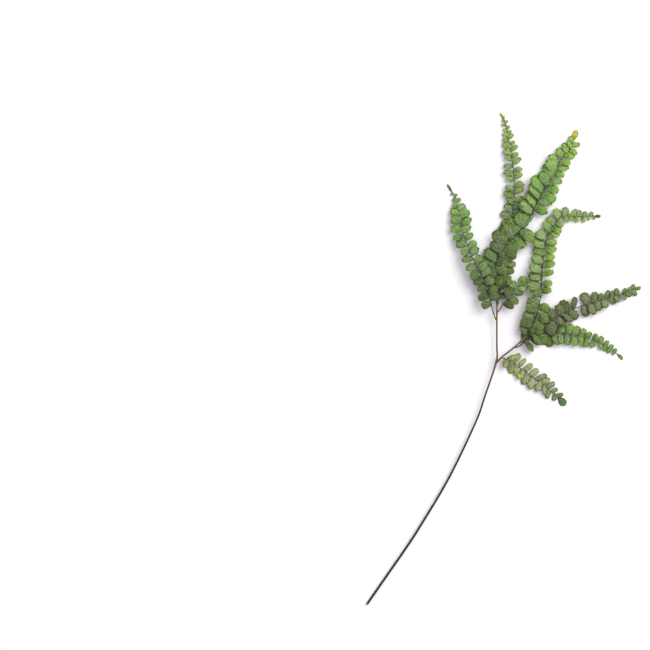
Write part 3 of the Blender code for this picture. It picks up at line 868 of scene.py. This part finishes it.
# Pinna 3, on the outer side of the left arm, arched up over pinna 1's first leaflets.
# Its leaflets are the roundest and it narrows to a small pointed end.
pinna(2, dict(
    node="pinna_3_round",
    route=[
        (-8.8, 37.0, 6.1), (-11.5, 46.0, 7.9), (-13.5, 55.0, 9.2), (-15.5, 63.5, 9.6), (-22.0, 78.0, 9.2),
        (-27.0, 86.0, 8.4), (-33.7, 102.5, 6.6), (-37.9, 115.5, 5.0), (-40.6, 132.0, 3.2),
        (-44.8, 146.5, 1.3), (-47.8, 150.6, 0.45),
    ],
    blade=(10.6, 8.4), spacing=7.3, start=(12.0, 16.0), swing=(70, 72), last=0.2, shrink=0.74,
    end_blade=(7.8, 2.6), lies=True, bare=[],
    left=[(0.0, 0.95, 1.0), (0.45, 1.02, 0.82), (0.65, 1.02, 0.84), (0.8, 0.95, 1.0), (1.0, 0.85, 0.85)],
    right=[(0.0, 0.92, 1.05), (0.45, 0.92, 0.96), (0.65, 0.92, 0.9), (0.8, 0.95, 1.0), (1.0, 0.85, 0.85)],
    bloom=(0.35, 0.5), end_tint=-0.3, wild=0.8, cover=0.35,
), colors=[
    (0.0, (65, 84, 45)), (0.3, (78, 105, 52)), (0.5, (97, 133, 65)), (0.75, (101, 143, 66)),
    (1.0, (106, 150, 66)),
], end_color=(112, 114, 72), rim_color=(134, 156, 76), rim_amount=0.45, slot="round_green")

# Pinna 4, the long one on the right arm that bends over to the right near its end.
# It stands highest on that side, and its end leaflet has browned.
pinna(3, dict(
    node="pinna_4_bent",
    route=[
        (19.4, 20.4, 6.1), (26.0, 32.5, 7.9), (30.0, 44.5, 8.2), (32.7, 60.0, 7.0), (33.6, 84.0, 5.2),
        (36.0, 99.5, 4.4), (40.2, 114.5, 3.8), (48.2, 125.5, 3.1), (57.0, 129.3, 2.4),
        (67.0, 127.5, 1.6), (77.0, 128.3, 0.9), (82.5, 128.0, 0.45),
    ],
    blade=(11.4, 8.2), spacing=7.5, start=(0.8, 4.8), swing=(68, 74), last=0.32, shrink=0.5,
    end_blade=(5.0, 3.2), lies=True, bare=[(RIGHT, 29.0, 39.0)],
    left=[(0.0, 1.2, 1.35), (0.3, 1.1, 1.2), (1.0, 1.1, 1.15)],
    right=[(0.0, 1.1, 1.1), (0.3, 1.02, 0.92), (1.0, 1.05, 0.9)],
    bloom=(0.75, 0.05), end_tint=-0.5, wild=0.9, cover=0.15,
), colors=[
    (0.0, (70, 90, 45)), (0.3, (92, 122, 55)), (0.5, (110, 145, 67)), (0.7, (106, 140, 65)),
    (1.0, (124, 158, 76)),
], end_color=(84, 72, 50), rim_color=(156, 178, 60), rim_amount=0.6, slot="bent_green")

# Pinna 5, which runs right and upwards from the right arm, under pinna 4.
# It is the darkest, with brownish rims.
pinna(4, dict(
    node="pinna_5_dark",
    route=[
        (16.8, 15.0, 5.0), (27.5, 23.5, 4.5), (40.0, 32.5, 4.5), (54.5, 41.0, 4.3), (66.5, 46.0, 4.0),
        (77.5, 50.0, 3.5), (91.5, 53.5, 2.8), (106.0, 58.0, 1.8), (116.5, 61.3, 0.8), (118.5, 62.3, 0.45),
    ],
    blade=(10.0, 7.2), spacing=6.4, start=(8.0, 11.0), swing=(70, 70), last=0.5, shrink=0.45,
    end_blade=(5.5, 3.6), lies=True, bare=[(LEFT, 55.0, 62.0), (RIGHT, 52.0, 62.0)],
    left=[(0.0, 1.2, 1.3), (0.45, 1.1, 1.15), (1.0, 1.08, 1.05)],
    right=[(0.0, 1.2, 1.3), (0.45, 1.1, 1.15), (1.0, 1.1, 1.05)],
    bloom=(0.45, 0.5), end_tint=0.3, wild=1.7, cover=0.3,
), colors=[
    (0.0, (82, 102, 58)), (0.5, (73, 91, 52)), (0.7, (87, 107, 62)), (1.0, (98, 120, 70)),
], end_color=(104, 130, 62), rim_color=(112, 98, 66), rim_amount=0.5, slot="dark_green")

# Pinna 6, the one below it, whose end droops to the lower right.
# It lies lowest, and its outer leaflets are brighter.
pinna(5, dict(
    node="pinna_6_drooping",
    route=[
        (12.8, 10.8, 4.0), (23.0, 17.5, 1.8), (36.5, 21.2, 1.6), (51.0, 22.3, 1.9), (69.5, 19.2, 2.1),
        (86.0, 13.8, 1.6), (98.0, 7.2, 0.9), (102.5, 3.0, 0.45),
    ],
    blade=(9.6, 7.2), spacing=6.4, start=(6.6, 7.0), swing=(68, 68), last=0.4, shrink=0.4,
    end_blade=(6.5, 3.6), lies=True, bare=[],
    left=[(0.0, 1.15, 1.25), (0.45, 1.05, 1.1), (1.0, 1.08, 1.0)],
    right=[(0.0, 1.2, 1.3), (0.45, 1.12, 1.15), (1.0, 1.1, 1.0)],
    bloom=(0.35, 0.3), end_tint=0.5, wild=1.3, cover=0.35,
), colors=[
    (0.0, (76, 94, 52)), (0.3, (88, 118, 56)), (0.5, (102, 136, 62)), (0.7, (100, 132, 64)),
    (1.0, (116, 149, 76)),
], end_color=(98, 142, 62), rim_color=(132, 146, 84), rim_amount=0.45, slot="drooping_green")

# Pinna 7, the short outermost one that starts just under the fork.
# It is the palest, a grey green with brownish rims, and ends in a round dark green leaflet.
pinna(6, dict(
    node="pinna_7_pale",
    route=[
        (-1.7, 0.2, 4.5), (4.2, -2.1, 3.0), (12.7, -7.7, 2.1), (25.5, -17.2, 2.1), (38.0, -26.5, 1.6),
        (46.4, -33.6, 0.9), (49.4, -36.6, 0.45),
    ],
    blade=(10.2, 6.4), spacing=6.3, start=(3.2, 1.4), swing=(62, 62), last=0.6, shrink=0.5,
    end_blade=(8.6, 7.4), lies=True, bare=[],
    left=[(0.0, 1.05, 0.92), (1.0, 1.0, 0.9)],
    right=[(0.0, 1.05, 1.0), (1.0, 1.0, 0.95)],
    bloom=(0.5, 0.6), end_tint=-0.4, wild=1.2, cover=0.2,
), colors=[
    (0.0, (130, 142, 96)), (0.25, (147, 161, 111)), (0.5, (144, 158, 111)), (0.7, (126, 144, 96)),
    (1.0, (75, 99, 60)),
], end_color=(70, 104, 58), rim_color=(112, 94, 62), rim_amount=0.6, slot="pale_green")

# Pinna 8, the short one inside the fork on the left arm, arched over pinna 1's right-hand leaflets.
# Its small dark leaflets lead to a large round bright one at the end.
pinna(7, dict(
    node="pinna_8_short",
    route=[(-5.2, 43.0, 6.2), (-0.5, 50.0, 8.4), (6.2, 57.0, 9.5), (11.8, 63.5, 9.3), (13.6, 66.5, 9.1)],
    blade=(10.4, 7.8), spacing=6.2, start=(13.0, 7.0), swing=(66, 66), last=0.8, shrink=0.6,
    end_blade=(9.4, 9.0), lies=False, bare=[],
    left=[(0.0, 1.1, 1.1), (1.0, 1.05, 1.05)],
    right=[(0.0, 1.1, 1.1), (1.0, 1.05, 1.05)],
    bloom=(0.3, 0.3), end_tint=0.3, wild=1.5, cover=0.3,
), colors=[
    (0.0, (56, 74, 36)), (0.5, (76, 100, 48)), (0.75, (96, 124, 60)), (1.0, (108, 142, 68)),
], end_color=(88, 120, 58), rim_color=(124, 144, 66), rim_amount=0.45, slot="short_green")

for blank in list(blanks.objects):
    bpy.data.meshes.remove(blank.data)
bpy.data.collections.remove(blanks)
